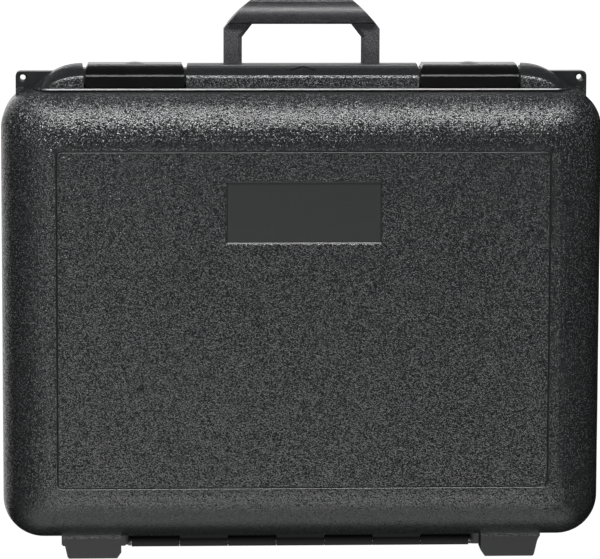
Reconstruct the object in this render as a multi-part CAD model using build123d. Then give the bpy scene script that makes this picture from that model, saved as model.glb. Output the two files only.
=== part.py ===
from build123d import *
import os
from math import asin, cos, degrees, radians, sin, sqrt

# A blow-moulded carrying case for a wireless microphone set. All sizes are in millimetres.
# It is drawn standing on its feet: the width along X, the soles at Z = 0, the seam plane at Y = 0,
# the lid towards -Y and the base towards +Y. At the end it is laid on its back, as it lies to be
# opened: +Z up through the lid, the handle towards -Y, the feet and the hinge towards +Y, and the
# origin on the table under the middle of the case.

# overall shell
case_width = 445.0
shell_height = 336.0
foot_height = 15.4
lid_depth = 47.0
base_depth = 71.0
corner_radius = 30.0
nose_radius = 41.0
nose_corner_radius = 12.0
seam_gap = 0.4

# walls and the tray inside each half
side_wall = 8.0
face_wall = 4.0
tray_edge_radius = 30.0
tray_corner_extra = 1.0

# tongue of the base in the groove of the lid, on the top and both sides
tongue_width = 2.6
tongue_height = 2.2
tongue_inset = 3.4
tongue_clearance = 0.35
tongue_start_height = 45.0

# rail along the top of both halves
rail_height = 17.8
rail_half_length = 193.4
rail_shoulder_length = 31.0
rail_shoulder_sink = 2.2
rail_front_depth = 18.5
rail_back_depth = 15.0
rail_band_height = 8.0
rail_band_end_share = 0.5
rail_band_lean = 18.0
rail_corner_radius = 1.2
rail_face_relief = 1.0
rail_face_bevel = 1.6
rail_root = 12.0
base_rail_drop = 2.7

# thin bead round the foot of the lid's rail
bead_rise = 0.8
bead_thickness = 1.4
bead_relief = 1.4
bead_half_length = 199.5
bead_corner_radius = 13.0
bead_bevel = 0.6
bead_bevel_height = 0.9

# arrow sunk in the middle of the rail's band
arrow_half_width = 9.0
arrow_rise = 2.9
arrow_stroke = 1.0
arrow_below_top = 0.9
arrow_depth = 0.9

# latches
latch_width = 72.2
latch_center = 123.5
latch_side_gap = 1.6
latch_wall = 3.0
latch_front_depth = 19.0
latch_bottom_height = 0.7
latch_lip_height = 8.5
latch_lip_slope = 1.2
latch_lip_relief = 0.95
latch_top_rise = 0.3
latch_nose_radius = 14.4
latch_nose_lean = 27.0
latch_corner_radius = 1.0
latch_nib = 1.1
latch_nib_height = 2.2
latch_nib_slope = 0.6
latch_edge = 0.8
latch_inner_edge = 1.5
latch_catch_gap = 0.5
catch_slope_drop = 1.7
catch_root = 12.0
latch_pivot_back = 9.5
latch_pivot_drop = 7.6
latch_barrel_radius = 4.3
latch_boss_width = 16.0
latch_boss_height = 1.0
latch_end_bevel = 1.7
latch_end_bevel_height = 3.9
pocket_bevel = 1.2
pocket_bevel_height = 5.0
base_pocket_rise = 0.5
latch_pin_radius = 1.5
latch_pin_grip = 5.5

# handle
handle_half_width = 57.8
handle_leg_width = 13.6
handle_leg_depth = 10.0
handle_leg_center = 5.7
handle_leg_bevel = 2.8
handle_top_above_rail = 46.3
handle_grip_height = 17.5
handle_grip_depth = 18.0
handle_grip_center = 6.0
handle_grip_top_facet = 1.2
handle_grip_radius = 17.0
handle_grip_widest = 1.7
handle_grip_lean = 57.0
handle_grip_low_bevel = 1.2
handle_top_flat = 37.5
handle_shoulder_drop = 21.2
handle_corner_bulge = 1.0
handle_inner_corner_width = 7.8
handle_inner_corner_height = 10.0
handle_pivot_drop = 9.0
handle_slot_gap = 0.5
handle_slot_rise = 1.0
handle_pin_radius = 2.5
handle_pin_grip = 5.5

# running clearance between a pin and what turns on it
pin_clearance = 0.05
pin_end_gap = 0.2

# padlock eyelets at the top corners
eyelet_outer_x = 211.4
eyelet_depth = 5.0
eyelet_height = 12.0
eyelet_corner_radius = 3.0
eyelet_hole_radius = 2.1
eyelet_sink_radius = 3.4
eyelet_sink_depth = 1.3
eyelet_hole_inset = 5.3
eyelet_hole_drop = 4.6
gusset_outer_x = 198.5
gusset_lean = 9.0
gusset_depth = 9.0
gusset_sink = 8.0
gusset_overlap = 0.5
gusset_back_rise = 1.0
gusset_front_dip = 1.0
gusset_front_step = 6.0
gusset_front_rise = 5.0
gusset_root_rise = 7.0

# feet
lid_foot_inner = 134.6
lid_foot_outer = 176.9
lid_foot_draft = 2.2
lid_foot_depth = 20.0
lid_foot_corner = 3.1
lid_foot_corner_height = 4.5
foot_flare = 2.2
foot_flare_height = 4.5
foot_edge = 1.2
foot_root = 14.0
base_foot_inner = 129.6
base_foot_outer = 179.8
base_foot_start = 26.0
base_foot_depth = 30.0
base_foot_corner = 2.2

# hinge under the shell, between the feet
hinge_radius = 3.7
hinge_height = 8.6
hinge_half_length = 127.0
hinge_knuckles = 7
knuckle_gap = 0.3
knuckle_web_depth = 2.4
hinge_web_root = 2.0
hinge_flange_gap = 0.4
hinge_flange_thickness = 2.0
hinge_flange_bottom = 5.4
hinge_rod_radius = 1.6
hinge_cap_radius = 3.0
hinge_cap_length = 2.2
hinge_cap_gap = 0.3
hinge_cap_bore_depth = 1.6
hinge_cap_edge = 0.6

# smooth blank nameplate recess
plate_half_width = 56.2
plate_height = 44.1
plate_center_above_feet = 262.9
plate_depth = 1.5
plate_bevel = 0.55
plate_bevel_depth = 0.35
plate_ledge = 0.25
plate_slope = 0.9
plate_slope_depth = 0.65

# line pressed round the flat of each large face
panel_half_width = 181.2
panel_height = 249.7
panel_center_above_feet = 182.8
panel_corner_radius = 4.0
panel_line_width = 1.3
panel_line_depth = 0.6

# foam
foam_gap = 0.4
foam_joint_gap = 0.3
foam_top_drop = 0.8
base_pad_thickness = 8.0
lower_foam_thickness = 22.0
lid_foam_thickness = 26.0
foam_margin = 16.5
foam_web = 16.0
pocket_corner_radius = 8.0
microphone_width = 272.0
microphone_height = 56.0
receiver_width = 202.0
aerial_height = 48.0
bodypack_share = 0.4752

# places worked out from the sizes above
half_width = case_width / 2
shell_top = foot_height + shell_height
shell_middle = foot_height + shell_height / 2
half_gap = seam_gap / 2
rail_top = shell_top + rail_height
base_rail_top = rail_top - base_rail_drop
handle_top = rail_top + handle_top_above_rail
laid_down = Pos(0, handle_top / 2, base_depth) * Rot(0, 0, 180) * Rot(-90, 0, 0)
pocket_half_width = latch_width / 2 + latch_side_gap
latch_pivot_z = rail_top - latch_pivot_drop
handle_pivot_z = rail_top - handle_pivot_drop
nose_drop = nose_radius - sqrt(nose_radius**2 - (rail_front_depth + nose_radius - lid_depth) ** 2)
bead_bottom = shell_top - nose_drop + bead_rise
bead_top = bead_bottom + bead_thickness
latch_top = rail_top + latch_top_rise
latch_bottom = shell_top + latch_bottom_height
latch_inner_front = latch_front_depth - latch_wall
latch_nose_y = latch_nose_radius + latch_lip_relief - latch_front_depth
latch_nose_z = (
    latch_top - latch_corner_radius
    - (latch_nose_radius - latch_corner_radius) * sin(radians(latch_nose_lean))
)
extra = 1.0


def front_plane(y):
    """Drawing plane across the case at depth y, X to the right and Z up, seen from the lid's side."""
    return Plane(origin=(0, y, 0), x_dir=(1, 0, 0), z_dir=(0, -1, 0))


def box(x0, x1, y0, y1, z0, z1):
    """A plain block between two corners."""
    return Pos((x0 + x1) / 2, (y0 + y1) / 2, (z0 + z1) / 2) * Box(x1 - x0, y1 - y0, z1 - z0)


def rod(x0, x1, radius, y, z):
    """A round bar along X."""
    return Pos((x0 + x1) / 2, y, z) * Rot(0, 90, 0) * Cylinder(radius, x1 - x0)


def mirror_to_base(part):
    """The same shape on the other side of the seam plane."""
    return mirror(part, about=Plane.XZ)


def across_profile(points, x0, x1):
    """A closed outline of (y, z) points, drawn out along X."""
    plane = Plane(origin=(x0, 0, 0), x_dir=(0, 1, 0), z_dir=(1, 0, 0))
    face = make_face(Polyline(*points, close=True))
    return extrude(plane * face, x1 - x0)


# ---------------------------------------------------------------- shells
def outer_half(depth):
    """One half of the outer shape, towards -Y, with its wide rounding to the large face."""
    straight = depth - nose_radius
    outline = RectangleRounded(case_width, shell_height, corner_radius)
    skirt = extrude(front_plane(-half_gap) * Pos(0, shell_middle) * outline, straight - half_gap)
    sections = []
    steps = 9
    for i in range(steps + 1):
        angle = radians(90 * i / steps)
        inset = nose_radius * (1 - cos(angle))
        y = -(straight + nose_radius * sin(angle))
        corner = corner_radius - (corner_radius - nose_corner_radius) * inset / nose_radius
        outline = RectangleRounded(case_width - 2 * inset, shell_height - 2 * inset, corner)
        sections.append(front_plane(y) * Pos(0, shell_middle) * outline)
    return skirt + loft(sections)


def tray(depth, clearance=0.0):
    """The hollow of one half, or what fills it with a clearance all round."""
    inset = side_wall + clearance
    edge = tray_edge_radius - clearance
    corner = edge + tray_corner_extra
    outline = RectangleRounded(case_width - 2 * inset, shell_height - 2 * inset, corner)
    length = depth - face_wall - clearance
    block = extrude(front_plane(0) * Pos(0, shell_middle) * outline, length)
    floor = block.faces().sort_by(Axis.Y)[0]
    return fillet(floor.edges(), edge)


def rail_outline(top, inset=0.0):
    """Front view of the rail: flat along the top, with quarter-ellipse shoulders."""
    foot = shell_top - rail_shoulder_sink
    rise = top - foot - inset
    run = rail_shoulder_length
    end = rail_half_length - inset * rail_band_end_share
    root = foot - rail_root
    right = EllipticalCenterArc((end - run, foot), run, rise, start_angle=0, arc_size=90)
    left = EllipticalCenterArc((run - end, foot), run, rise, start_angle=90, arc_size=90)
    top_line = Line((end - run, foot + rise), (run - end, foot + rise))
    side_l = Line((-end, foot), (-end, root))
    bottom = Line((-end, root), (end, root))
    side_r = Line((end, root), (end, foot))
    return make_face([right, top_line, left, side_l, bottom, side_r])


def rail(depth, top):
    """The rail on one half, towards -Y, with a smooth band that leans back to a small round corner."""
    lean = radians(rail_band_lean)
    corner = rail_corner_radius
    swell = (rail_band_height - corner * (1 - sin(lean))) / sin(lean)
    profile = []
    steps = 4
    for i in range(steps + 1):
        angle = lean * i / steps
        profile.append((rail_band_height - swell * sin(angle), swell * (1 - cos(angle))))
    setback = swell * (1 - cos(lean))
    for i in range(1, steps + 1):
        angle = lean + (radians(90) - lean) * i / steps
        profile.append((corner * (1 - sin(angle)), setback + corner * (cos(lean) - cos(angle))))
    sections = [front_plane(back - depth) * rail_outline(top, inset) for inset, back in profile]
    full = depth - profile[-1][1]
    return extrude(front_plane(-half_gap) * rail_outline(top), full - half_gap) + loft(sections, ruled=True)


def rail_face():
    """The flat front of the lid's rail, standing a little proud of the smooth band, with a bevelled top."""
    near = -rail_front_depth
    back = front_plane(near + rail_face_relief) * rail_outline(rail_top, rail_band_height)
    front = front_plane(near) * rail_outline(rail_top, rail_band_height + rail_face_bevel)
    return loft([back, front]) + extrude(back, -rail_corner_radius)


def bead():
    """Thin bead round the foot of the lid's rail, carried back to the seam at both ends."""
    front = rail_front_depth + bead_relief
    outline = RectangleRounded(2 * bead_half_length, 2 * front, bead_corner_radius)
    top = RectangleRounded(
        2 * (bead_half_length - bead_bevel), 2 * (front - bead_bevel), bead_corner_radius - bead_bevel
    )
    shoulder = bead_top - bead_bevel_height
    plate = extrude(Plane.XY.offset(bead_bottom) * outline, shoulder - bead_bottom)
    plate = plate + loft([Plane.XY.offset(shoulder) * outline, Plane.XY.offset(bead_top) * top])
    return plate - box(-half_width, half_width, -half_gap, half_width, 0, rail_top)


def latch_pockets(y0, y1, z0, z1):
    """The two gaps in a rail that take the latches, wider at the mouth."""
    cuts = []
    low = z1 - extra - pocket_bevel_height
    for side in (-1, 1):
        middle = side * latch_center
        cuts.append(box(middle - pocket_half_width, middle + pocket_half_width, y0, y1, z0, z1))
        for end in (-1, 1):
            edge = middle + end * pocket_half_width
            inner = edge - end * extra
            outer = edge + end * pocket_bevel
            wedge = Polyline(
                (inner, low), (edge, low), (outer, z1 - extra), (outer, z1), (inner, z1), close=True
            )
            cuts.append(extrude(front_plane(y1) * make_face(wedge), y1 - y0))
    return cuts


def both_sides(points, y0, y1):
    """A closed outline of (x, z) points on the right, drawn out along Y, and its mirror on the left."""
    blocks = []
    for side in (-1, 1):
        face = make_face(Polyline(*[(side * x, z) for x, z in points], close=True))
        blocks.append(extrude(front_plane(y1) * face, y1 - y0))
    return blocks


def lid_feet():
    """The lid's two feet: straight and chamfered inside, drafted and flared outside."""
    root = foot_height + foot_root
    outer = lid_foot_outer
    points = [
        (lid_foot_inner + lid_foot_corner, 0),
        (lid_foot_inner, lid_foot_corner_height),
        (lid_foot_inner, root),
        (outer + foot_flare, root),
        (outer + foot_flare, foot_height),
        (outer + foot_flare / 3, foot_height - foot_flare_height / 2),
        (outer, foot_height - foot_flare_height),
        (outer - lid_foot_draft, foot_edge),
        (outer - lid_foot_draft - foot_edge, 0),
    ]
    return both_sides(points, -lid_foot_depth, -half_gap)


def base_feet():
    """The base's two feet: wider straight blocks further back."""
    root = foot_height + foot_root
    points = [
        (base_foot_inner + base_foot_corner, 0),
        (base_foot_inner, base_foot_corner),
        (base_foot_inner, root),
        (base_foot_outer, root),
        (base_foot_outer, foot_edge),
        (base_foot_outer - foot_edge, 0),
    ]
    return both_sides(points, base_foot_start, base_foot_start + base_foot_depth)


def knuckle_spans(first):
    """The stretches of X taken by every second hinge knuckle."""
    pitch = 2 * hinge_half_length / hinge_knuckles
    spans = []
    for i in range(first, hinge_knuckles, 2):
        x0 = -hinge_half_length + i * pitch + knuckle_gap / 2
        spans.append((x0, x0 + pitch - knuckle_gap))
    return spans


def knuckles(first, side):
    """Hinge knuckles on thin webs moulded on one half; side is -1 for the lid and +1 for the base."""
    parts = []
    for x0, x1 in knuckle_spans(first):
        parts.append(rod(x0, x1, hinge_radius, 0, hinge_height))
        y0, y1 = sorted((side * half_gap, side * knuckle_web_depth))
        parts.append(box(x0, x1, y0, y1, hinge_height, foot_height + hinge_web_root))
    return parts


def hinge_flange():
    """Flange under the base, close behind the hinge and as long as the gap between the feet."""
    near = hinge_radius + hinge_flange_gap
    end = base_foot_inner + base_foot_corner
    return box(
        -end, end, near, near + hinge_flange_thickness, hinge_flange_bottom, foot_height + hinge_web_root
    )


def rim_band(clearance, height):
    """U-shaped band on the rim: the tongue, or with a clearance the groove that takes it."""
    inset = tongue_inset - clearance
    width = tongue_width + 2 * clearance
    outer = RectangleRounded(case_width - 2 * inset, shell_height - 2 * inset, corner_radius - inset)
    inner_inset = inset + width
    inner = RectangleRounded(
        case_width - 2 * inner_inset, shell_height - 2 * inner_inset, corner_radius - inner_inset
    )
    ring = extrude(front_plane(half_gap) * Pos(0, shell_middle) * (outer - inner), height + half_gap)
    low = foot_height + tongue_start_height - clearance
    return ring - box(-half_width, half_width, -height - extra, extra, 0, low)


def panel_line(depth):
    """The V-shaped line round the flat of a large face, towards -Y."""
    z = panel_center_above_feet
    w = 2 * panel_half_width
    r = panel_corner_radius
    h = panel_line_width / 2
    sink = panel_line_depth
    ring = []
    for grow, y in ((h, -depth), (0, -depth + sink)):
        outline = RectangleRounded(w + 2 * grow, panel_height + 2 * grow, r + grow)
        ring.append(front_plane(y) * Pos(0, z) * outline)
    outer = loft(ring)
    ring = []
    for grow, y in ((-h, -depth), (-0.01, -depth + sink)):
        outline = RectangleRounded(w + 2 * grow, panel_height + 2 * grow, r + grow)
        ring.append(front_plane(y) * Pos(0, z) * outline)
    inner = loft(ring)
    return outer - inner


def nameplate_recess():
    """Blank recess for a nameplate: a bevel, a narrow ledge and a slope down to a flat floor."""
    y = -lid_depth
    ledge_y = y + plate_bevel_depth
    inner_y = ledge_y + plate_slope_depth
    inner_lip = plate_slope
    outer_lip = inner_lip + plate_ledge

    def window(depth, lip):
        outline = Rectangle(2 * (plate_half_width + lip), plate_height + 2 * lip)
        return front_plane(depth) * Pos(0, plate_center_above_feet) * outline

    bevel = loft([window(y, outer_lip + plate_bevel), window(ledge_y, outer_lip)])
    slope = loft([window(ledge_y, inner_lip), window(inner_y, 0)])
    floor = extrude(window(y + plate_depth, 0), plate_depth)
    return bevel + slope + floor


def sunk_arrow(rail_block):
    """Arrow sunk to an even depth in the band of the rail, pointing up."""
    top = rail_top - arrow_below_top
    low = top - arrow_rise
    w = arrow_half_width
    t = arrow_stroke
    outline = Polyline((0, top), (w, low), (w, low - t), (0, top - t), (-w, low - t), (-w, low), close=True)
    prism = extrude(front_plane(0) * make_face(outline), rail_front_depth + extra)
    return prism - Pos(0, arrow_depth, 0) * rail_block


def catches():
    """What the latches hold: a step behind each latch with an undercut for the latch's nib."""
    gap = latch_catch_gap
    front = -(latch_inner_front - gap)
    top = latch_top - latch_wall - gap
    bend = latch_nose_radius - latch_wall - gap
    highest = asin((top - latch_nose_z) / bend)
    slope_low = latch_bottom + latch_lip_height - catch_slope_drop
    ledge = latch_bottom + latch_nib_height + gap
    foot = shell_top - catch_root
    points = [(-half_gap, foot), (-half_gap, top)]
    for share in (1.0, 0.5):
        angle = highest * share
        points.append((latch_nose_y - bend * cos(angle), latch_nose_z + bend * sin(angle)))
    points += [
        (latch_nose_y - bend, latch_nose_z),
        (front, slope_low),
        (front, ledge),
        (front + latch_nib + gap, ledge),
        (front + latch_nib + gap, foot),
    ]
    parts = []
    for side in (-1, 1):
        middle = side * latch_center
        x0 = middle - pocket_half_width - extra / 2
        x1 = middle + pocket_half_width + extra / 2
        parts.append(across_profile(points, x0, x1))
    return parts


def eyelets(y0, y1):
    """Flat tabs at both top corners, for padlocks."""
    top = shell_top + eyelet_height
    inner = rail_half_length - rail_shoulder_length
    low = shell_top - corner_radius
    r = eyelet_corner_radius
    tabs = []
    for side in (-1, 1):
        line = Polyline(
            (side * inner, low),
            (side * inner, top),
            (side * (eyelet_outer_x - r), top),
            (side * (eyelet_outer_x - r * 0.3), top - r * 0.3),
            (side * eyelet_outer_x, top - r),
            (side * eyelet_outer_x, low),
            close=True,
        )
        tabs.append(extrude(front_plane(y1) * make_face(line), y1 - y0))
    return tabs


def eyelet_gussets():
    """Slanting webs from the lid's eyelets to the ends of its rail."""
    top = shell_top + eyelet_height
    low = shell_top - gusset_sink
    root = rail_half_length - rail_shoulder_length
    webs = []
    for side in (-1, 1):
        back = Polyline(
            (side * gusset_outer_x, low),
            (side * gusset_outer_x, shell_top + gusset_back_rise),
            (side * (gusset_outer_x - eyelet_height), top),
            (side * root, top),
            (side * root, low),
            close=True,
        )
        x = gusset_outer_x - gusset_lean
        front = Polyline(
            (side * x, low),
            (side * x, shell_top - gusset_front_dip),
            (side * (x - gusset_front_step), shell_top + gusset_front_rise),
            (side * root, shell_top + gusset_root_rise),
            (side * root, low),
            close=True,
        )
        faces = [front_plane(-eyelet_depth + gusset_overlap) * make_face(back)]
        faces.append(front_plane(-eyelet_depth - gusset_depth) * make_face(front))
        webs.append(loft(faces, ruled=True))
    return webs


def eyelet_holes(side_y):
    """The eyelets' holes in one half, with a conical sink round each; side_y is -1 for the lid."""
    z = shell_top + eyelet_height - eyelet_hole_drop
    y0, y1 = sorted((0, side_y * (eyelet_depth + extra)))
    face_y = side_y * eyelet_depth
    cuts = []
    for side in (-1, 1):
        x = side * (eyelet_outer_x - eyelet_hole_inset)
        cuts.append(extrude(front_plane(y1) * Pos(x, z) * Circle(eyelet_hole_radius), y1 - y0))
        mouth = front_plane(face_y) * Pos(x, z) * Circle(eyelet_sink_radius)
        throat = front_plane(face_y - side_y * eyelet_sink_depth) * Pos(x, z) * Circle(eyelet_hole_radius)
        cuts.append(loft([mouth, throat]))
    return cuts


def lid_shell():
    """The lid: front half of the case with its rail, feet, hinge knuckles and nameplate recess."""
    band = rail(rail_front_depth - rail_face_relief, rail_top)
    top_rail = band + rail_face() - sunk_arrow(band)
    for cut in latch_pockets(-rail_front_depth - extra, extra, bead_top, rail_top + extra):
        top_rail = top_rail - cut
    body = outer_half(lid_depth) + top_rail + bead()
    for part in catches() + eyelets(-eyelet_depth, -half_gap) + eyelet_gussets():
        body = body + part
    for part in lid_feet() + knuckles(1, -1):
        body = body + part
    body = body - tray(lid_depth)
    body = body - rim_band(tongue_clearance, tongue_height + tongue_clearance)
    body = body - panel_line(lid_depth) - nameplate_recess()
    for cut in eyelet_holes(-1):
        body = body - cut
    return body - rod(-half_width, half_width, hinge_rod_radius + pin_clearance, 0, hinge_height)


def base_shell():
    """The base: back half of the case with its rail, feet, knuckles and the seats of all pins."""
    body = outer_half(base_depth)
    top_rail = rail(rail_back_depth, base_rail_top)
    floor = shell_top + base_pocket_rise
    for cut in latch_pockets(-rail_back_depth - extra, extra, floor, base_rail_top + extra):
        top_rail = top_rail - cut
    body = body + top_rail
    body = body - tray(base_depth) - panel_line(base_depth)
    body = mirror_to_base(body)
    for part in eyelets(half_gap, eyelet_depth):
        body = body + part
    for part in base_feet() + knuckles(0, 1) + [hinge_flange()]:
        body = body + part
    body = body + rim_band(0.0, tongue_height)
    for cut in eyelet_holes(1):
        body = body - cut
    body = body - mirror_to_base(tray(base_depth))
    slot_in = handle_half_width - handle_leg_width - handle_slot_gap
    slot_out = handle_half_width + handle_slot_gap
    hole = handle_pin_radius + pin_clearance
    for side in (-1, 1):
        x0, x1 = sorted((side * slot_in, side * slot_out))
        body = body - box(x0, x1, 0, rail_back_depth + extra, shell_top + handle_slot_rise, rail_top)
        x0, x1 = sorted((side * (slot_in - handle_pin_grip), side * (slot_out + handle_pin_grip)))
        body = body - rod(x0, x1, hole, handle_leg_center, handle_pivot_z)
        reach = pocket_half_width + latch_pin_grip
        x0, x1 = side * latch_center - reach, side * latch_center + reach
        body = body - rod(x0, x1, latch_pin_radius + pin_clearance, latch_pivot_back, latch_pivot_z)
    return body - rod(-half_width, half_width, hinge_rod_radius + pin_clearance, 0, hinge_height)


# ---------------------------------------------------------------- latches
def latch(side):
    """Snap-over latch: barrel on the base's pin, arched top, ledge and lip over the lid's catch."""
    w = latch_wall
    front = -latch_front_depth
    ledge = latch_bottom + latch_lip_height
    lean = latch_nose_lean
    upper_front = front + latch_lip_relief
    back_y = latch_pivot_back - latch_barrel_radius
    center = (latch_nose_y, latch_nose_z)
    offset = latch_nose_radius - latch_corner_radius
    corner = (
        latch_nose_y - offset * cos(radians(lean)),
        latch_nose_z + offset * sin(radians(lean)),
    )
    bend = latch_nose_radius - w
    highest = degrees(asin((latch_top - w - latch_nose_z) / bend))
    nose = CenterArc(center, latch_nose_radius, 180, -lean)
    top_corner = CenterArc(corner, latch_corner_radius, 180 - lean, lean - 90)
    inner_nose = CenterArc(center, bend, 180 - highest, highest)
    inner_top = (latch_nose_y - bend * cos(radians(highest)), latch_top - w)
    lip_inner = -latch_inner_front
    points_up = Polyline(
        (front + latch_edge, latch_bottom), (front, latch_bottom + latch_edge), (front, ledge),
        (upper_front, ledge + latch_lip_slope), (upper_front, latch_nose_z),
    )
    points_back = Polyline(
        (corner[0], latch_top), (back_y - latch_edge, latch_top),
        (latch_pivot_back, latch_pivot_z + latch_barrel_radius), (latch_pivot_back, latch_pivot_z),
        (back_y, latch_pivot_z), (back_y, latch_top - w - latch_inner_edge),
        (back_y - latch_inner_edge, latch_top - w),
        inner_top,
    )
    points_down = Polyline(
        (latch_nose_y - bend, latch_nose_z), (lip_inner, ledge - latch_edge),
        (lip_inner, latch_bottom + latch_nib_height),
        (lip_inner + latch_nib, latch_bottom + latch_nib_height - latch_nib_slope),
        (lip_inner + latch_nib, latch_bottom + latch_edge),
        (lip_inner, latch_bottom), (front + latch_edge, latch_bottom),
    )
    outline = make_face(points_up.edges() + nose.edges() + top_corner.edges() + points_back.edges()
                        + inner_nose.edges() + points_down.edges())
    x0 = side * latch_center - latch_width / 2
    plane = Plane(origin=(x0, 0, 0), x_dir=(0, 1, 0), z_dir=(1, 0, 0))
    body = extrude(plane * outline, latch_width)
    body = body + rod(x0, x0 + latch_width, latch_barrel_radius, latch_pivot_back, latch_pivot_z)

    middle = side * latch_center
    dome_radius = (latch_boss_width / 2) ** 2 / (2 * latch_boss_height) + latch_boss_height / 2
    dome = Pos(middle, (corner[0] + back_y) / 2, latch_top + latch_boss_height - dome_radius)
    keep = box(x0, x0 + latch_width, front, back_y, latch_top - latch_boss_height, latch_top + extra)
    body = body + (dome * Sphere(dome_radius) & keep)
    for end in (-1, 1):
        edge = middle + end * latch_width / 2
        inner = edge - end * latch_end_bevel
        outer = edge + end * extra
        z = latch_top - latch_end_bevel_height
        wedge = Polyline(
            (edge, z),
            (inner, latch_top),
            (inner, latch_top + extra),
            (outer, latch_top + extra),
            (outer, z),
            close=True,
        )
        body = body - extrude(front_plane(half_width) * make_face(wedge), 2 * half_width)
    hole = latch_pin_radius + pin_clearance
    return body - rod(x0 - extra, x0 + latch_width + extra, hole, latch_pivot_back, latch_pivot_z)


def latch_pins():
    """The two pins the latches turn on, held by the base's rail at both ends."""
    reach = pocket_half_width + latch_pin_grip - pin_end_gap
    pins = []
    for side in (-1, 1):
        x = side * latch_center
        pins.append(rod(x - reach, x + reach, latch_pin_radius, latch_pivot_back, latch_pivot_z))
    return pins


# ---------------------------------------------------------------- handle
def handle_outline(grow=0.0):
    """Front view of the handle: two legs and a grip, with sloping corners."""
    top = handle_top
    grip_low = top - handle_grip_height
    foot = handle_pivot_z
    w = handle_half_width
    inner = w - handle_leg_width
    flat = handle_top_flat
    shoulder = top - handle_shoulder_drop
    slant = sqrt((w - flat) ** 2 + handle_shoulder_drop**2)
    mid_x = (w + flat) / 2 + handle_corner_bulge * handle_shoulder_drop / slant
    mid_z = (top + shoulder) / 2 + handle_corner_bulge * (w - flat) / slant
    edges = []
    for side in (-1, 1):
        edges += ThreePointArc((side * w, shoulder), (side * mid_x, mid_z), (side * flat, top)).edges()
        edges += Polyline(
            (side * w, shoulder), (side * w, foot), (side * inner, foot),
            (side * inner, grip_low - handle_inner_corner_height),
            (side * (inner - handle_inner_corner_width), grip_low),
        ).edges()
    flat_in = inner - handle_inner_corner_width
    edges += Line((-flat, top), (flat, top)).edges()
    edges += Line((-flat_in, grip_low), (flat_in, grip_low)).edges()
    return make_face(edges)


def grip_profile():
    """Section of the grip: a narrow flat on top and swelling sides, widest near the lower edge."""
    top = handle_top
    low = top - handle_grip_height
    facet = handle_grip_top_facet / 2
    half = handle_grip_depth / 2
    widest = low + handle_grip_widest
    lean = radians(handle_grip_lean)
    r = handle_grip_radius
    bevel = handle_grip_low_bevel
    edges = []
    for side in (-1, 1):
        start = (side * half, widest)
        middle = (side * (half - r * (1 - cos(lean / 2))), widest + r * sin(lean / 2))
        end = (side * (half - r * (1 - cos(lean))), widest + r * sin(lean))
        edges += ThreePointArc(start, middle, end).edges()
        edges += Line(end, (side * facet, top)).edges()
        edges += Polyline(start, (side * half, low + bevel), (side * (half - bevel), low)).edges()
    edges += Line((-facet, top), (facet, top)).edges()
    edges += Line((bevel - half, low), (half - bevel, low)).edges()
    plane = Plane(origin=(-half_width, handle_grip_center, 0), x_dir=(0, 1, 0), z_dir=(1, 0, 0))
    return extrude(plane * make_face(edges), 2 * half_width)


def carry_handle():
    """Swing-up handle: flat legs turning on two pins, bevelled inside, and a deeper swelling grip."""
    grip_low = handle_top - handle_grip_height
    leg_back = handle_leg_center + handle_leg_depth / 2
    grip_back = handle_grip_center + handle_grip_depth / 2
    inner = handle_half_width - handle_leg_width
    legs = extrude(front_plane(leg_back) * handle_outline(), handle_leg_depth)
    corner_x = inner - handle_inner_corner_width / 2
    inside = legs.edges().filter_by(
        lambda e: e.length > handle_leg_depth + 1.0
        and (abs(abs(e.center().X) - inner) < 0.1 or abs(abs(e.center().X) - corner_x) < 0.1)
    )
    legs = chamfer(inside, handle_leg_bevel)
    legs = legs & box(-half_width, half_width, -half_width, half_width, 0, grip_low + 3.0)
    grip = extrude(front_plane(grip_back) * handle_outline(), handle_grip_depth) & grip_profile()
    body = legs + grip
    hole = handle_pin_radius + pin_clearance
    for side in (-1, 1):
        x0, x1 = sorted((side * handle_half_width, side * inner))
        body = body + rod(x0, x1, handle_leg_depth / 2, handle_leg_center, handle_pivot_z)
        body = body - rod(x0 - extra, x1 + extra, hole, handle_leg_center, handle_pivot_z)
    return body


def handle_pins():
    """The two pins the handle turns on, held by the base's rail on both sides of each leg."""
    reach_in = handle_half_width - handle_leg_width - handle_slot_gap - handle_pin_grip + pin_end_gap
    reach_out = handle_half_width + handle_slot_gap + handle_pin_grip - pin_end_gap
    pins = []
    for side in (-1, 1):
        x0, x1 = sorted((side * reach_in, side * reach_out))
        pins.append(rod(x0, x1, handle_pin_radius, handle_leg_center, handle_pivot_z))
    return pins


# ---------------------------------------------------------------- hinge
def hinge_rod():
    """The rod through all hinge knuckles."""
    end = hinge_half_length + hinge_cap_gap + hinge_cap_bore_depth
    return rod(-end, end, hinge_rod_radius, 0, hinge_height)


def hinge_caps():
    """Push-on caps on both ends of the hinge rod."""
    bore_end = hinge_half_length + hinge_cap_gap + hinge_cap_bore_depth + pin_clearance
    caps = []
    for side in (-1, 1):
        near = side * (hinge_half_length + hinge_cap_gap)
        x0, x1 = sorted((near, near + side * hinge_cap_length))
        cap = rod(x0, x1, hinge_cap_radius, 0, hinge_height)
        outer_face = cap.faces().sort_by(Axis.X)[-1 if side > 0 else 0]
        cap = chamfer(outer_face.edges(), hinge_cap_edge)
        caps.append(cap - rod(-bore_end, bore_end, hinge_rod_radius + pin_clearance, 0, hinge_height))
    return caps


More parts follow.
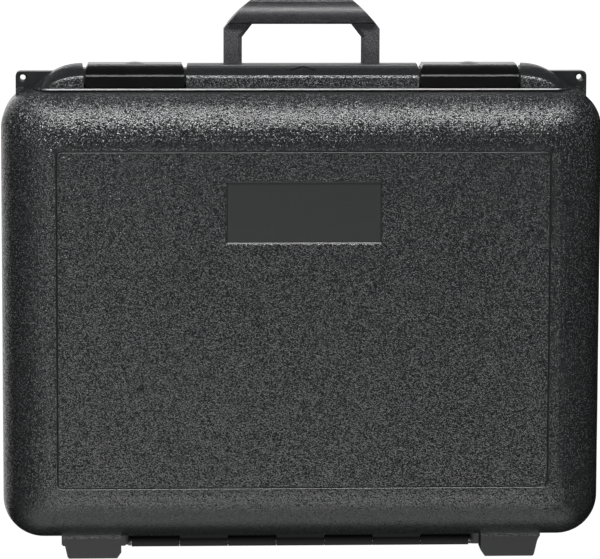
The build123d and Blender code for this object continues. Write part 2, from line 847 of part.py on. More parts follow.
# ---------------------------------------------------------------- foam
def pocket_boxes():
    """Name, extent across, extent in height and depth class of each pocket in the base foam."""
    right = half_width - side_wall - foam_margin
    left = -right
    high = shell_top - side_wall - foam_margin
    low = foot_height + side_wall + foam_margin
    top_row = high - microphone_height
    aerial_top = low + aerial_height
    middle_top = top_row - foam_web
    receiver_right = left + receiver_width
    column = receiver_right + foam_web
    half_column = (right - column - foam_web) / 2
    pack_low = middle_top - (middle_top - low - foam_web) * bodypack_share
    return [
        ("microphone", left, left + microphone_width, top_row, high, True),
        ("cables", left + microphone_width + foam_web, right, top_row, high, False),
        ("receiver", left, receiver_right, aerial_top + foam_web, middle_top, True),
        ("body_pack_one", column, column + half_column, pack_low, middle_top, False),
        ("body_pack_two", column + half_column + foam_web, right, pack_low, middle_top, False),
        ("aerials", left, receiver_right, low, aerial_top, False),
        ("power_supply", column, right, low, pack_low - foam_web, True),
    ]


def foam_layer(depth, near, far, through_only):
    """A slice of foam filling the base's tray between two depths, with its pockets."""
    fill = mirror_to_base(tray(depth, foam_gap))
    layer = fill & box(-half_width, half_width, near, far, 0, shell_top)
    for _, x0, x1, z0, z1, through in pocket_boxes():
        if through or not through_only:
            hole = RectangleRounded(x1 - x0, z1 - z0, pocket_corner_radius)
            place = front_plane(far + extra) * Pos((x0 + x1) / 2, (z0 + z1) / 2)
            layer = layer - extrude(place * hole, far - near + 2 * extra)
    return layer


def base_foams():
    """The base's foam: a plain pad, a lower layer with the deep pockets and an upper layer with all."""
    floor = base_depth - face_wall - foam_gap
    pad_top = floor - base_pad_thickness
    lower_bottom = pad_top - foam_joint_gap
    lower_top = lower_bottom - lower_foam_thickness
    upper_bottom = lower_top - foam_joint_gap
    fill = mirror_to_base(tray(base_depth, foam_gap))
    pad = fill & box(-half_width, half_width, pad_top, floor + extra, 0, shell_top)
    lower = foam_layer(base_depth, lower_top, lower_bottom, True)
    upper = foam_layer(base_depth, half_gap + foam_top_drop, upper_bottom, False)
    return pad, lower, upper


def lid_foam():
    """The lid's pad, pressing on what lies in the base."""
    floor = lid_depth - face_wall - foam_gap
    fill = tray(lid_depth, foam_gap)
    return fill & box(-half_width, half_width, -floor - extra, -floor + lid_foam_thickness, 0, shell_top)


# ---------------------------------------------------------------- everything in its place
def save(name, shape):
    """Lays a part down with the case on its back, and writes it."""
    solids = shape if isinstance(shape, (list, tuple)) else [shape]
    moved = [laid_down * solid for solid in solids]
    whole = Compound(children=moved) if len(moved) > 1 else moved[0]
    export_step(whole, "parts/" + name + ".step")


os.makedirs("parts", exist_ok=True)
base_pad, base_foam_lower, base_foam_upper = base_foams()
save("lid_shell", lid_shell())
save("base_shell", base_shell())
save("hinge_rod", hinge_rod())
save("hinge_caps", hinge_caps())
save("latch_left", latch(1))
save("latch_right", latch(-1))
save("latch_pins", latch_pins())
save("carry_handle", carry_handle())
save("handle_pins", handle_pins())
save("lid_foam", lid_foam())
save("base_foam_upper", base_foam_upper)
save("base_foam_lower", base_foam_lower)
save("base_pad", base_pad)
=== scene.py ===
from math import cos, pi, radians, sin

import bpy
from mathutils import Matrix, Vector


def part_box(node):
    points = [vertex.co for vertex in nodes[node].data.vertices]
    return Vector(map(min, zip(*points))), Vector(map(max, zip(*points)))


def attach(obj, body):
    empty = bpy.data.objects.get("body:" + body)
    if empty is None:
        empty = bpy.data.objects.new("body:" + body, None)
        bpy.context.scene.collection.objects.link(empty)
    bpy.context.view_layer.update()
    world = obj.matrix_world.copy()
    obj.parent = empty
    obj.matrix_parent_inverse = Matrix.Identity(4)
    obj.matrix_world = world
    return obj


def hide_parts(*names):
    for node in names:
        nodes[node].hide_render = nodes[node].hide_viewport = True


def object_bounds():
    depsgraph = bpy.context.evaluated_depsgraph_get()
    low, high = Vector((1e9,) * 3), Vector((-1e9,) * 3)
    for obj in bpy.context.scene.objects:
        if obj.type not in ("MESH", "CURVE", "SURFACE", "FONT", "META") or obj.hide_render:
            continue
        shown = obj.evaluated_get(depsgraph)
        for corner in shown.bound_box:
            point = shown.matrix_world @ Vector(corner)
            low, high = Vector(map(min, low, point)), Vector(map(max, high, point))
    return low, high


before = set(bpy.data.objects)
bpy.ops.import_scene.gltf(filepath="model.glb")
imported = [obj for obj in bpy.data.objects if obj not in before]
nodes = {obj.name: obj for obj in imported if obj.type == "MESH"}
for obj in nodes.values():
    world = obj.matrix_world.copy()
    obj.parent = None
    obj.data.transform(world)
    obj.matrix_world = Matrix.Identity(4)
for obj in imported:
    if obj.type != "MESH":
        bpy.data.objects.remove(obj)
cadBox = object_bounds()
mm = 0.001
print("frame loaded:", len(nodes), "nodes")

# the case lies on its back: +Y is the side of its feet, -Y the side of its handle, +Z the lid's front
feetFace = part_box("lid_shell")[1].y
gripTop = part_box("carry_handle")[0].y
ground = cadBox[0][2]


# turns an sRGB hex colour into the linear values that nodes take
def linearColour(hexCode):
    digits = hexCode.lstrip("#")
    channels = []
    for i in (0, 2, 4):
        level = int(digits[i:i + 2], 16) / 255
        channels.append(level / 12.92 if level <= 0.04045 else ((level + 0.055) / 1.055) ** 2.4)
    return (*channels, 1.0)


# adds one node to a material or the world; its inputs are a list in the sockets' order, or go by socket
# name, and each is a plain value, a socket, or a node that stands for its first output in use
def addNode(owner, kind, inputs=(), **settings):
    tree = owner.node_tree
    node = tree.nodes.new("ShaderNode" + kind)
    for setting, value in settings.items():
        setattr(node, setting, value)
    given = inputs if isinstance(inputs, dict) else dict(enumerate(inputs))
    for socket, value in given.items():
        if isinstance(value, bpy.types.Node):
            value = next(output for output in value.outputs if output.enabled)
        if isinstance(value, bpy.types.NodeSocket):
            tree.links.new(value, node.inputs[socket])
        else:
            node.inputs[socket].default_value = value
    return node


def newMaterial(name):
    material = bpy.data.materials.new(name)
    material.use_nodes = True
    material.node_tree.nodes.clear()
    return material


# a mask that is 1 between low and high and 0 outside, with soft edges
def between(material, value, low, high, soft):
    rise = addNode(material, "MapRange", [value, low - soft, low + soft])
    fall = addNode(material, "MapRange", [value, high - soft, high + soft, 1.0, 0.0])
    return addNode(material, "Math", [rise, fall], operation="MULTIPLY")


shellLook = {
    "colour": "#1a1b1c",            # carbon-black polyethylene
    "grainTop": "#666869",          # painted glints: the tips of some pebbles are painted paler, standing in for light caught by the grain
    "glintChance": (0.6, 1.0),        # only some of the pebbles get a painted glint
    "glintSize": (0.25, 0.6),         # how far it reaches from the middle of its pebble, in pitches
    "driftSize": 70 * mm,           # broad clouds of slightly paler and darker plastic
    "drift": 0.08,
    "ior": 1.54,
    "roughness": 0.2,               # of the pebbles
    "smoothRoughness": 0.3,         # of the places that the mould's blasting left out
    "roughnessSpeckle": 0.06,
    "pebblePitch": 0.8 * mm,        # a mould blasted with coarse grit: pebbles about this far apart
    "pebbleLean": 1.0,              # how far each pebble's top leans its own way
    "leastLean": 0.25,              # what every pebble leans, as a share of the steepest
    "leanPower": 3.0,               # the higher it is, the fewer lean steeply
    "pebbleDepth": 0.12 * mm,
    "fineGrain": 0.5 * mm,          # a second, finer roughness, drawn coarser than real so that it shows
    "fineDepth": 0.03 * mm,
    "fineStrength": 0.6,
    "smoothShare": 0.93,            # how much of the grain a smooth place loses
    "bandShare": 0.85,              # the same for the rail's band, as a share of that
    "lowNoseGrain": 0.35,           # what is left of the grain where the shell curves under
    "grooveReach": 3.0 * mm,        # how near a wall must be for painted shade to darken its neighbour
    "grooveOpen": (0.35, 0.85),     # how much a place sees round it, from shut to open
    # painted shade: the darkest tone that grooves are painted
    "grooveShadeTone": 0.1,
    "grooveDull": 0.6,              # added roughness in grooves and round the hinge
    "plateDull": 0.12,              # the nameplate's recess is a shade duller than the rail
    "cornerDull": 0.12,             # and so is the rail's rounded outer corner
    "hingeShade": 0.9,              # painted shade that makes the knuckles the blackest part
    # painted shade that darkens the feet
    "footShade": 0.35,
}

# where the grain changes, on the case as it stands: heights are up from its feet, half widths are out
# from its middle and depths are out from its back
shellZones = {
    "feetTop": 14.95 * mm,          # the feet and the hinge are smooth
    "hingeHalf": 129.0 * mm,        # the knuckles reach this far to either side
    "lowNose": (21.75 * mm, 57.75 * mm),        # the grain fades between these heights
    "railBottom": 351.85 * mm,
    "railFaces": ((55.0 * mm, 56.2 * mm), (88.6 * mm, 89.8 * mm)),      # depths that keep their grain
    "railCorner": (366.35 * mm, 367.35 * mm),
    "eyeletHalf": 186.0 * mm,       # beyond it the rail ends in the eyelets' tabs
    "bead": (348.85 * mm, 351.95 * mm),
    "beadDepth": 89.6 * mm,         # the bead stands in front of this
    "plateHeight": 262.9 * mm,      # the middle of the nameplate's recess
    "plateHalf": (57.9 * mm, 23.75 * mm),
    "plateDepth": (115.0 * mm, 117.6 * mm),     # from behind its floor to its rim
    "panelHeight": 182.8 * mm,      # the middle of the front panel, which a fine line frames
    "panelHalf": (182.0 * mm, 125.65 * mm),
    "panelLine": 1.6 * mm,
    "edge": 0.1 * mm,               # how soft the zones' edges are
    "sharpEdge": 0.05 * mm,
}


# Blow-moulded black HDPE: the blasted mould leaves a pebble grain that sparkles under a soft light, helped
# by painted glints on some pebbles, while the feet, the recess and the rail's rounded band come out smooth.
def grainedPolyethylene(look, zones):
    plastic = newMaterial("grained black polyethylene")
    coords = addNode(plastic, "TexCoord").outputs["Object"]
    place = addNode(plastic, "SeparateXYZ", [coords])
    side = addNode(plastic, "Math", [place.outputs["X"]], operation="ABSOLUTE")
    height = addNode(plastic, "Math", [feetFace, place.outputs["Y"]], operation="SUBTRACT")
    depth = place.outputs["Z"]

    feet = addNode(plastic, "Math", [height, zones["feetTop"]], operation="LESS_THAN")
    rail = addNode(plastic, "Math", [height, zones["railBottom"]], operation="GREATER_THAN")
    tabs = addNode(plastic, "Math", [side, zones["eyeletHalf"]], operation="GREATER_THAN")
    eyelets = addNode(plastic, "Math", [rail, tabs], operation="MULTIPLY")
    railBand = rail
    for low, high in zones["railFaces"]:
        face = between(plastic, depth, low, high, zones["sharpEdge"])
        railBand = addNode(plastic, "Math", [railBand, face], operation="SUBTRACT", use_clamp=True)

    beadHeight = between(plastic, height, *zones["bead"], zones["sharpEdge"])
    beadFront = addNode(plastic, "Math", [depth, zones["beadDepth"]], operation="GREATER_THAN")
    bead = addNode(plastic, "Math", [beadHeight, beadFront], operation="MULTIPLY")

    # the nameplate's recess: a mask across, one up and down, and the depths of its floor and rim
    halfWide, halfHigh = zones["plateHalf"]
    floorDepth, rimDepth = zones["plateDepth"]
    middle = zones["plateHeight"]
    across = between(plastic, place.outputs["X"], -halfWide, halfWide, zones["edge"])
    upDown = between(plastic, height, middle - halfHigh, middle + halfHigh, zones["edge"])
    sunk = addNode(plastic, "Math", [depth, rimDepth], operation="LESS_THAN")
    above = addNode(plastic, "Math", [depth, floorDepth], operation="GREATER_THAN")
    plate = across
    for mask in (upDown, sunk, above):
        plate = addNode(plastic, "Math", [plate, mask], operation="MULTIPLY")

    # the line round the front panel: its two sides, then its two ends
    halfWide, halfHigh = zones["panelHalf"]
    fromMiddle = addNode(plastic, "Math", [height, zones["panelHeight"]], operation="SUBTRACT")
    rise = addNode(plastic, "Math", [fromMiddle], operation="ABSOLUTE")
    lineMasks = []
    runs = ((side, halfWide, rise, halfHigh), (rise, halfHigh, side, halfWide))
    for out, outHalf, along, alongHalf in runs:
        line = between(plastic, out, outHalf - zones["panelLine"], outHalf, zones["edge"])
        reach = addNode(plastic, "Math", [along, alongHalf], operation="LESS_THAN")
        lineMasks.append(addNode(plastic, "Math", [line, reach], operation="MULTIPLY"))

    smooth = addNode(plastic, "Math", [railBand, look["bandShare"]], operation="MULTIPLY")
    for mask in (feet, eyelets, plate, bead, *lineMasks):
        smooth = addNode(plastic, "Math", [smooth, mask], operation="MAXIMUM")
    lost = addNode(plastic, "Math", [smooth, look["smoothShare"]], operation="MULTIPLY")
    kept = addNode(plastic, "Math", [1.0, lost], operation="SUBTRACT")
    lowNose = addNode(plastic, "MapRange", [height, *zones["lowNose"], look["lowNoseGrain"], 1.0],
                      interpolation_type="SMOOTHSTEP")
    grain = addNode(plastic, "Math", [kept, lowNose], operation="MULTIPLY")

    # pebbles that each lean their own way, a few of them steeply, with low round tops
    pebbles = addNode(plastic, "TexVoronoi", {"Vector": coords, "Scale": 1 / look["pebblePitch"]})
    offset = addNode(plastic, "VectorMath", [coords, pebbles.outputs["Position"]], operation="SUBTRACT")
    lean = addNode(plastic, "VectorMath", [pebbles.outputs["Color"], (0.5, 0.5, 0.5)], operation="SUBTRACT")
    leaning = addNode(plastic, "VectorMath", [offset, lean], operation="DOT_PRODUCT")
    chance = addNode(plastic, "SeparateColor", [pebbles.outputs["Color"]])
    fewSteep = addNode(plastic, "Math", [chance.outputs["Red"], look["leanPower"]], operation="POWER")
    steepness = addNode(plastic, "Math", [fewSteep, look["leastLean"]], operation="ADD")
    slope = addNode(plastic, "Math", [steepness, look["pebbleLean"]], operation="MULTIPLY")
    facets = addNode(plastic, "Math", [leaning, slope], operation="MULTIPLY")
    nearMiddle = addNode(plastic, "Math", [1.0, pebbles.outputs["Distance"]], operation="SUBTRACT")
    domes = addNode(plastic, "Math", [nearMiddle, look["pebbleDepth"]], operation="MULTIPLY")
    pebbleHeight = addNode(plastic, "Math", [facets, domes], operation="ADD")
    fine = addNode(plastic, "TexNoise", {"Vector": coords, "Scale": 1 / look["fineGrain"], "Detail": 2.0})

    # some pebbles get painted pale tips, painted glints that stand in for light on the grain, and the
    # plastic's tone drifts a little
    glintPebbles = addNode(plastic, "MapRange", [chance.outputs["Blue"], *look["glintChance"]])
    glintSpot = addNode(plastic, "MapRange", [pebbles.outputs["Distance"], *look["glintSize"], 1.0, 0.0])
    paintedGlints = addNode(plastic, "Math", [glintPebbles, glintSpot], operation="MULTIPLY")
    glintShare = addNode(plastic, "Math", [paintedGlints, grain], operation="MULTIPLY")
    tint = addNode(plastic, "Mix", {"Factor": glintShare, "A": linearColour(look["colour"]),
                                    "B": linearColour(look["grainTop"])}, data_type="RGBA")
    clouds = addNode(plastic, "TexNoise", {"Vector": coords, "Scale": 1 / look["driftSize"], "Detail": 2.0})
    drift = addNode(plastic, "MapRange", [clouds, 0.0, 1.0, 1 - look["drift"], 1 + look["drift"]])

    # painted shade: grooves and inside corners are darkened by how little they see round them, and the
    # hinge and the feet are painted darker too
    hollows = addNode(plastic, "AmbientOcclusion", {"Distance": look["grooveReach"]}, samples=4)
    creviceShade = addNode(plastic, "MapRange",
                       [hollows.outputs["AO"], *look["grooveOpen"], look["grooveShadeTone"], 1.0])
    nearHinge = addNode(plastic, "Math", [side, zones["hingeHalf"]], operation="LESS_THAN")
    hinge = addNode(plastic, "Math", [feet, nearHinge], operation="MULTIPLY")
    hingeShade = addNode(plastic, "Math", [hinge, look["hingeShade"]], operation="MULTIPLY")
    footShade = addNode(plastic, "Math", [feet, look["footShade"]], operation="MULTIPLY")
    shadeShare = addNode(plastic, "Math", [hingeShade, footShade], operation="MAXIMUM")
    unshaded = addNode(plastic, "Math", [1.0, shadeShare], operation="SUBTRACT")
    paintedShadeFactor = addNode(plastic, "Math", [creviceShade, unshaded], operation="MULTIPLY")
    tone = addNode(plastic, "Math", [drift, paintedShadeFactor], operation="MULTIPLY")
    colour = addNode(plastic, "Mix", {"Factor": 1.0, "A": tint, "B": tone},
                     data_type="RGBA", blend_type="MULTIPLY")

    # roughness: pebbles or smooth, then a fine speckle and what the recess, rail and grooves add
    level = addNode(plastic, "MapRange", [grain, 0.0, 1.0, look["smoothRoughness"], look["roughness"]])
    speckle = addNode(plastic, "MapRange",
                      [fine, 0.0, 1.0, -look["roughnessSpeckle"], look["roughnessSpeckle"]])
    plateDull = addNode(plastic, "Math", [plate, look["plateDull"]], operation="MULTIPLY")
    cornerDull = addNode(plastic, "MapRange", [height, *zones["railCorner"], 0.0, look["cornerDull"]])
    closed = addNode(plastic, "Math", [1.0, paintedShadeFactor], operation="SUBTRACT")
    grooveDull = addNode(plastic, "Math", [closed, look["grooveDull"]], operation="MULTIPLY")
    rough = level
    for part in (speckle, plateDull, cornerDull, grooveDull):
        rough = addNode(plastic, "Math", [rough, part], operation="ADD", use_clamp=True)

    # the pebbles' height is in metres already, so the first bump's distance is 1
    coarseBump = addNode(plastic, "Bump", {"Height": pebbleHeight, "Strength": grain, "Distance": 1.0})
    bump = addNode(plastic, "Bump", {"Height": fine, "Strength": look["fineStrength"],
                                     "Distance": look["fineDepth"], "Normal": coarseBump})
    shader = addNode(plastic, "BsdfPrincipled", {"Base Color": colour, "Roughness": rough,
                                                 "IOR": look["ior"], "Normal": bump})
    addNode(plastic, "OutputMaterial", {"Surface": shader})
    return plastic


latchLook = {
    "colour": "#070708",
    "ior": 1.48,
    "roughness": 0.22,
    "smears": (-0.04, 0.07),        # what hands leave on the polish, added to the roughness
    "smearSize": 18 * mm,
    "orangePeel": 3.5 * mm,
    "peelDepth": 0.02 * mm,
}


# Injection-moulded acetal: a polished tool leaves it glossy, with a faint orange peel in reflections.
def glossyAcetal(look):
    acetal = newMaterial("glossy black acetal")
    coords = addNode(acetal, "TexCoord").outputs["Object"]
    peel = addNode(acetal, "TexNoise", {"Vector": coords, "Scale": 1 / look["orangePeel"], "Detail": 2.0})
    smears = addNode(acetal, "TexNoise", {"Vector": coords, "Scale": 1 / look["smearSize"], "Detail": 3.0})
    level, (less, more) = look["roughness"], look["smears"]
    rough = addNode(acetal, "MapRange", [smears, 0.0, 1.0, level + less, level + more])
    bump = addNode(acetal, "Bump", {"Height": peel, "Distance": look["peelDepth"]})
    shader = addNode(acetal, "BsdfPrincipled", {"Base Color": linearColour(look["colour"]),
                                                "Roughness": rough, "IOR": look["ior"], "Normal": bump})
    addNode(acetal, "OutputMaterial", {"Surface": shader})
    return acetal


handleLook = {
    # painted shade: the grip keeps this darker copy of the plastic's colours
    "colour": "#111113",
    "grainTop": "#39393b",
    "litLegColour": "#232325",         # painted light: the flat legs are painted paler than the grip, a lit copy of the same plastic
    "litLegGrainTop": "#5a5a5d",
    "gripDepth": 17.5 * mm,         # from the top of the grip down to the legs
    "ior": 1.49,
    "gloss": 0.3,
    "roughness": 0.34,
    "smears": (-0.06, 0.06),
    "smearSize": 25 * mm,
    "grain": 0.8 * mm,              # a fine spark finish, drawn coarser than real so that it shows
    "grainDepth": 0.1 * mm,
    "topLevel": (0.4, 0.7),         # from where the grain counts as its top
}


# Injection-moulded polypropylene with a fine spark finish: satin, with soft broad highlights.
def satinPolypropylene(look):
    plastic = newMaterial("satin black polypropylene")
    coords = addNode(plastic, "TexCoord").outputs["Object"]
    place = addNode(plastic, "SeparateXYZ", [coords])
    # painted light and shade: the legs get the paler copy of the colours, the grip the darker one
    onLegs = addNode(plastic, "Math", [place.outputs["Y"], gripTop + look["gripDepth"]],
                     operation="GREATER_THAN")
    base = addNode(plastic, "Mix", {"Factor": onLegs, "A": linearColour(look["colour"]),
                                    "B": linearColour(look["litLegColour"])}, data_type="RGBA")
    top = addNode(plastic, "Mix", {"Factor": onLegs, "A": linearColour(look["grainTop"]),
                                   "B": linearColour(look["litLegGrainTop"])}, data_type="RGBA")
    grain = addNode(plastic, "TexNoise", {"Vector": coords, "Scale": 1 / look["grain"], "Detail": 3.0})
    tops = addNode(plastic, "MapRange", [grain, *look["topLevel"]])
    tint = addNode(plastic, "Mix", {"Factor": tops, "A": base, "B": top}, data_type="RGBA")
    smears = addNode(plastic, "TexNoise", {"Vector": coords, "Scale": 1 / look["smearSize"], "Detail": 2.0})
    level, (less, more) = look["roughness"], look["smears"]
    rough = addNode(plastic, "MapRange", [smears, 0.0, 1.0, level + less, level + more])
    bump = addNode(plastic, "Bump", {"Height": grain, "Distance": look["grainDepth"]})
    shader = addNode(plastic, "BsdfPrincipled", {"Base Color": tint, "Roughness": rough, "IOR": look["ior"],
                                                 "Specular IOR Level": look["gloss"], "Normal": bump})
    addNode(plastic, "OutputMaterial", {"Surface": shader})
    return plastic


steelLook = {
    "colour": "#c4c6c9",
    "roughness": 0.3,
    "lineShine": (-0.08, 0.12),     # how the lines change the roughness
    "drawLines": 0.25 * mm,         # marks of the drawing die, coarser than real so that they show
    "lineDepth": 0.01 * mm,
    "stretch": (0.04, 1.0, 1.0),    # they run along the rods, in X
}


# Drawn steel rod, zinc plated: bright, with fine lines along its length.
def platedSteel(look):
    steel = newMaterial("zinc plated steel")
    coords = addNode(steel, "TexCoord").outputs["Object"]
    along = addNode(steel, "Mapping", {"Vector": coords, "Scale": look["stretch"]})
    lines = addNode(steel, "TexNoise", {"Vector": along, "Scale": 1 / look["drawLines"], "Detail": 2.0})
    level, (less, more) = look["roughness"], look["lineShine"]
    rough = addNode(steel, "MapRange", [lines, 0.0, 1.0, level + less, level + more])
    bump = addNode(steel, "Bump", {"Height": lines, "Distance": look["lineDepth"]})
    shader = addNode(steel, "BsdfPrincipled", {"Base Color": linearColour(look["colour"]), "Metallic": 1.0,
                                               "Roughness": rough, "Normal": bump})
    addNode(steel, "OutputMaterial", {"Surface": shader})
    return steel


foamLook = {
    "colour": "#39393c",
    "poreShadeColour": "#202022",
    "cell": 1.6 * mm,               # open cells, drawn a little coarser than real so that they show
    "mottling": 9 * mm,
    "mottlingShare": 0.5,
    "cellDepth": 0.5 * mm,
    "poreEdge": (0.35, 0.95),       # from the painted shade in a pore to the wall beside it
    "ior": 1.45,
    "roughness": 0.95,
    "sheen": 0.25,
    "sheenRoughness": 0.5,
}


# Die-cut open-cell polyurethane: dull, with a sheen at grazing angles and pores all over.
def openCellFoam(look):
    foam = newMaterial("charcoal open cell foam")
    coords = addNode(foam, "TexCoord").outputs["Object"]
    cells = addNode(foam, "TexVoronoi", {"Vector": coords, "Scale": 1 / look["cell"]})
    clouds = addNode(foam, "TexNoise", {"Vector": coords, "Scale": 1 / look["mottling"], "Detail": 4.0})
    mottling = addNode(foam, "Math", [clouds, look["mottlingShare"]], operation="MULTIPLY")
    depth = addNode(foam, "Math", [cells.outputs["Distance"], mottling], operation="ADD")
    # painted shade: the hollows of the pores are painted darker than their walls
    pores = addNode(foam, "MapRange", [depth, *look["poreEdge"]])
    tint = addNode(foam, "Mix", {"Factor": pores, "A": linearColour(look["poreShadeColour"]),
                                 "B": linearColour(look["colour"])}, data_type="RGBA")
    bump = addNode(foam, "Bump", {"Height": depth, "Distance": look["cellDepth"]})
    shader = addNode(foam, "BsdfPrincipled",
                     {"Base Color": tint, "Roughness": look["roughness"], "IOR": look["ior"],
                      "Sheen Weight": look["sheen"], "Sheen Roughness": look["sheenRoughness"],
                      "Normal": bump})
    addNode(foam, "OutputMaterial", {"Surface": shader})
    return foam


shellPlastic = grainedPolyethylene(shellLook, shellZones)
latchPlastic = glossyAcetal(latchLook)
handlePlastic = satinPolypropylene(handleLook)
bareSteel = platedSteel(steelLook)
foamMaterial = openCellFoam(foamLook)
finishes = {
    "lid_shell": shellPlastic, "base_shell": shellPlastic,
    "latch_left": latchPlastic, "latch_right": latchPlastic,
    "carry_handle": handlePlastic, "hinge_caps": handlePlastic,
    "hinge_rod": bareSteel, "latch_pins": bareSteel, "handle_pins": bareSteel,
}
for nodeName, finish in finishes.items():
    mesh = nodes[nodeName].data
    mesh.materials.clear()
    mesh.materials.append(finish)
print("materials set")


# each layer of foam is copied from the frame, remeshed and softened
foamShape = {
    "voxel": 3.0 * mm,
    "passes": 5,                    # smoothing passes that round the die-cut edges
    "softening": 0.5,               # how far each pass goes
    "eggPitch": 38.0 * mm,          # the lid's foam has rows of round peaks
    "eggDepth": 12.0 * mm,
}


def softCopy(name, node, shape):
    source = nodes[node]
    piece = bpy.data.objects.new(name, source.data.copy())
    piece.matrix_world = source.matrix_world
    bpy.context.scene.collection.objects.link(piece)
    remesh = piece.modifiers.new("cut foam", "REMESH")
    remesh.mode = "VOXEL"
    remesh.voxel_size = shape["voxel"]
    soften = piece.modifiers.new("soft edges", "SMOOTH")
    soften.factor = shape["softening"]
    soften.iterations = shape["passes"]
    bpy.context.view_layer.update()
    ready = piece.evaluated_get(bpy.context.evaluated_depsgraph_get())
    mesh = bpy.data.meshes.new_from_object(ready)
    piece.modifiers.clear()
    piece.data = mesh
    mesh.materials.clear()
    mesh.materials.append(foamMaterial)
    mesh.polygons.foreach_set("use_smooth", [True] * len(mesh.polygons))
    return piece


# presses hollows between round peaks into the face at low, and leaves the face at high flat
def pressEggCrate(piece, low, high, shape):
    step = 2 * pi / shape["eggPitch"]
    for vertex in piece.data.vertices:
        x, y, z = vertex.co
        wave = (1 - cos(step * x) * cos(step * y)) / 2
        start = low + shape["eggDepth"] * wave
        share = (z - low) / (high - low)
        vertex.co.z = start + (high - start) * share
    piece.data.update()


def addFoam(name, node, body, shape):
    piece = softCopy(name, node, shape)
    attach(piece, body)
    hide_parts(node)
    return piece


lidFoam = addFoam("lidFoam", "lid_foam", "lid", foamShape)
foamLow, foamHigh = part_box("lid_foam")
pressEggCrate(lidFoam, foamLow.z, foamHigh.z, foamShape)
addFoam("upperFoam", "base_foam_upper", "base", foamShape)
addFoam("lowerFoam", "base_foam_lower", "base", foamShape)
addFoam("padFoam", "base_pad", "base", foamShape)
print("foam made")


# camera, lights and floor; the case's own right, up and front are these directions of the frame
caseRight, caseUp, caseFront = Vector((-1, 0, 0)), Vector((0, -1, 0)), Vector((0, 0, 1))
cameraSettings = {
    "azimuth": -2.67,               # degrees round the case from straight in front of its lid
    "elevation": 7.89,              # degrees towards the handle's end
    "roll": 0.18,
    "distance": 2.92344,
    "aim": Vector((0.75, 0.65, 71.0)) * mm,
    "lens": 235.03,
    "sensor": 36.0,
    "clipEnd": 50.0,
}


def caseDirection(azimuth, elevation):
    a, e = radians(azimuth), radians(elevation)
    return caseRight * sin(a) * cos(e) + caseFront * cos(a) * cos(e) + caseUp * sin(e)


def placeCamera(settings):
    back = caseDirection(settings["azimuth"], settings["elevation"])
    a, r = radians(settings["azimuth"]), radians(settings["roll"])
    right = caseRight * cos(a) - caseFront * sin(a)
    up = back.cross(right)
    turnedRight = right * cos(r) + up * sin(r)
    turnedUp = up * cos(r) - right * sin(r)
    data = bpy.data.cameras.new("camera")
    data.lens = settings["lens"]
    data.sensor_width = settings["sensor"]
    data.clip_end = settings["clipEnd"]
    camera = bpy.data.objects.new("camera", data)
    bpy.context.scene.collection.objects.link(camera)
    turn = Matrix((turnedRight, turnedUp, back)).transposed().to_4x4()
    camera.matrix_world = Matrix.Translation(settings["aim"] + back * settings["distance"]) @ turn
    bpy.context.scene.camera = camera


placeCamera(cameraSettings)

lampSettings = {
    # azimuth and elevation in degrees, then distance, width and height in metres, then watts
    "handleSide": (0, 65, 0.9, 1.2, 0.12, 16),
    "frontLeft": (-40, 15, 2.6, 1.0, 1.2, 3.5),
    "frontLow": (-5, -29, 2.2, 2.2, 0.8, 21),
    "feetSide": (-5, -78, 1.2, 2.0, 2.2, 13),
}


def addLamp(name, azimuth, elevation, distance, width, height, watts):
    data = bpy.data.lights.new(name, "AREA")
    data.shape = "RECTANGLE"
    data.size, data.size_y = width, height
    data.energy = watts
    lamp = bpy.data.objects.new(name, data)
    direction = caseDirection(azimuth, elevation)
    lamp.location = cameraSettings["aim"] + direction * distance
    lamp.rotation_euler = direction.to_track_quat("Z", "Y").to_euler()
    bpy.context.scene.collection.objects.link(lamp)


for lampName, lampValues in lampSettings.items():
    addLamp(lampName, *lampValues)

stageSettings = {
    "floorSize": 40.0,
    "floorGap": 0.2 * mm,           # how far under the case it lies
    "floorColour": "#f2f2f2",
    "glowColour": "#ffffff",
    "glow": 1.05,
    "glowShare": 0.94,              # how much of what is seen of the floor is this plain white
    "worldColour": "#ffffff",
    "worldLevel": 0.05,
}


def makePlate(name, corners, height):
    (x0, y0), (x1, y1) = corners
    mesh = bpy.data.meshes.new(name)
    mesh.from_pydata([(x0, y0, height), (x1, y0, height), (x1, y1, height), (x0, y1, height)], [],
                     [(0, 1, 2, 3)])
    plate = bpy.data.objects.new(name, mesh)
    bpy.context.scene.collection.objects.link(plate)
    return plate


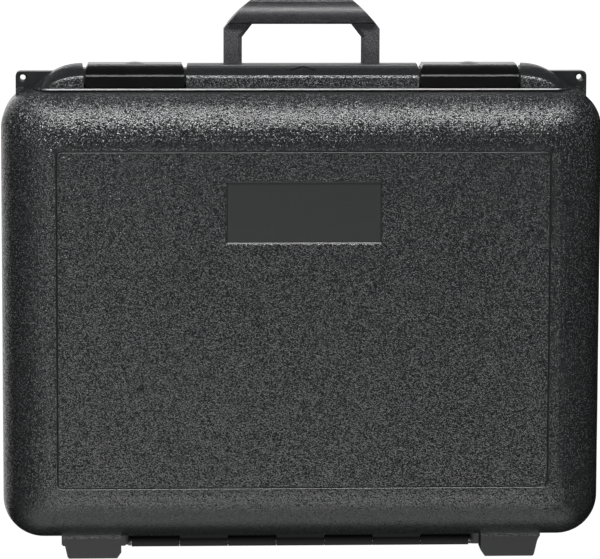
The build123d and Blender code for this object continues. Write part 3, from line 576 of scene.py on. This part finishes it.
def makeFloor(settings):
    half = settings["floorSize"] / 2
    floor = makePlate("floor", ((-half, -half), (half, half)), ground - settings["floorGap"])
    paper = newMaterial("white paper sweep")
    sheet = addNode(paper, "BsdfDiffuse", {"Color": linearColour(settings["floorColour"])})
    glow = addNode(paper, "Emission", {"Color": linearColour(settings["glowColour"]),
                                       "Strength": settings["glow"]})
    rays = addNode(paper, "LightPath")
    seen = rays.outputs["Is Camera Ray"]
    for kind in ("Is Glossy Ray", "Is Transmission Ray"):
        seen = addNode(paper, "Math", [seen, rays.outputs[kind]], operation="MAXIMUM")
    share = addNode(paper, "Math", [seen, settings["glowShare"]], operation="MULTIPLY")
    mixed = addNode(paper, "MixShader", [share, sheet, glow])
    addNode(paper, "OutputMaterial", {"Surface": mixed})
    floor.data.materials.append(paper)


# black cards on the floor that only reflections see, round an opening that leaves the case room
cardSettings = {
    "colour": "#0b0b0b",
    "cardGap": 0.1 * mm,            # how far under the case they lie
    "opening": ((-0.225, -0.28), (0.30, 0.21)),
    "outerEdge": 3.0,
}


def makeCards(settings):
    matt = newMaterial("matt black card")
    board = addNode(matt, "BsdfDiffuse", {"Color": linearColour(settings["colour"])})
    addNode(matt, "OutputMaterial", {"Surface": board})
    (x0, y0), (x1, y1) = settings["opening"]
    far = settings["outerEdge"]
    cards = {
        "cardRight": ((-far, -far), (x0, far)),
        "cardLeft": ((x1, -far), (far, far)),
        "cardFeet": ((x0, y1), (x1, far)),
        "cardHandle": ((x0, -far), (x1, y0)),
    }
    for name, corners in cards.items():
        card = makePlate(name, corners, ground - settings["cardGap"])
        card.data.materials.append(matt)
        card.visible_camera = False
        card.visible_diffuse = False
        card.visible_shadow = False
        card.visible_transmission = False


def makeWorld(settings):
    world = bpy.data.worlds.new("studio")
    bpy.context.scene.world = world
    world.use_nodes = True
    world.node_tree.nodes.clear()
    light = addNode(world, "Background", {"Color": linearColour(settings["worldColour"]),
                                          "Strength": settings["worldLevel"]})
    addNode(world, "OutputWorld", {"Surface": light})


makeFloor(stageSettings)
makeCards(cardSettings)
makeWorld(stageSettings)
bpy.context.scene.view_settings.view_transform = "Standard"
print("camera, lamps and floor placed")
